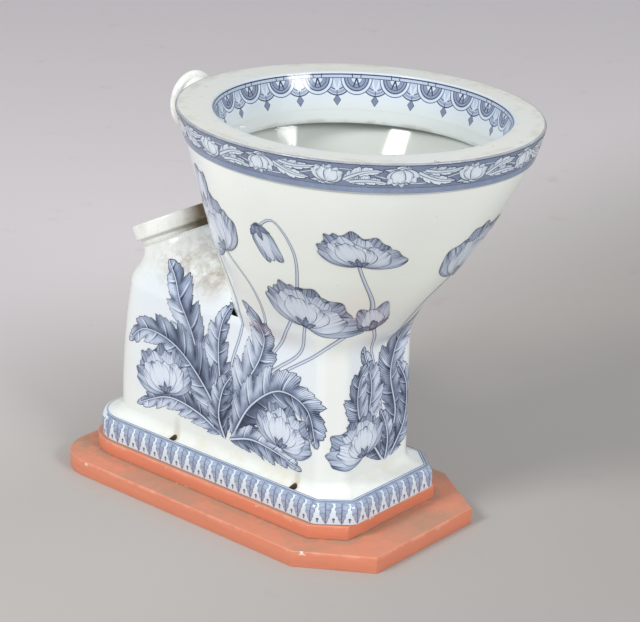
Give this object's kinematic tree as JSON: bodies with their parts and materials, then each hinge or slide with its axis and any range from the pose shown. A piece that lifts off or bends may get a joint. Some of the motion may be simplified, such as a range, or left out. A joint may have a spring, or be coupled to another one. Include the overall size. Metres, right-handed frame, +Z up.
{
  "type": "toilet",
  "caption": "Pedestal closet pan with an oval cone bowl, hollow casing over its trap, rear vent collar, flush inlet, and a stepped wooden display plinth.",
  "frame": {"origin": "middle of the lower board's underside", "axes": "+Z up, -Y towards the front of the pan, x = 0 is the plane of symmetry"},
  "size_m": [0.3562, 0.5443, 0.47],
  "materials": {
    "painted_wood": "dusty matt terracotta paint, chipped at the edges",
    "steel": "plain countersunk wood screws",
    "glaze": "glossy cream-white lead glaze with slate-blue printed flowers",
    "printed_glaze": "glossy glaze over slate-blue printed borders",
    "stained_glaze": "cream glaze with brown age stains",
    "plain_ware": "thinly glazed inner ware"
  },
  "bodies": {
    "root": {"plinth_lower_board": "painted_wood", "plinth_upper_board": "painted_wood", "plinth_screw_1": "steel", "plinth_screw_2": "steel", "plinth_screw_3": "steel", "plinth_screw_4": "steel", "foot": "printed_glaze", "pedestal": "glaze", "trap_casing": "glaze", "bowl": "glaze", "rim_band": "printed_glaze", "rim_top_ring": "glaze", "rim_inner_wall": "printed_glaze", "trap": "plain_ware", "vent_collar": "stained_glaze", "flush_inlet": "stained_glaze"}
  },
  "joints": []
}
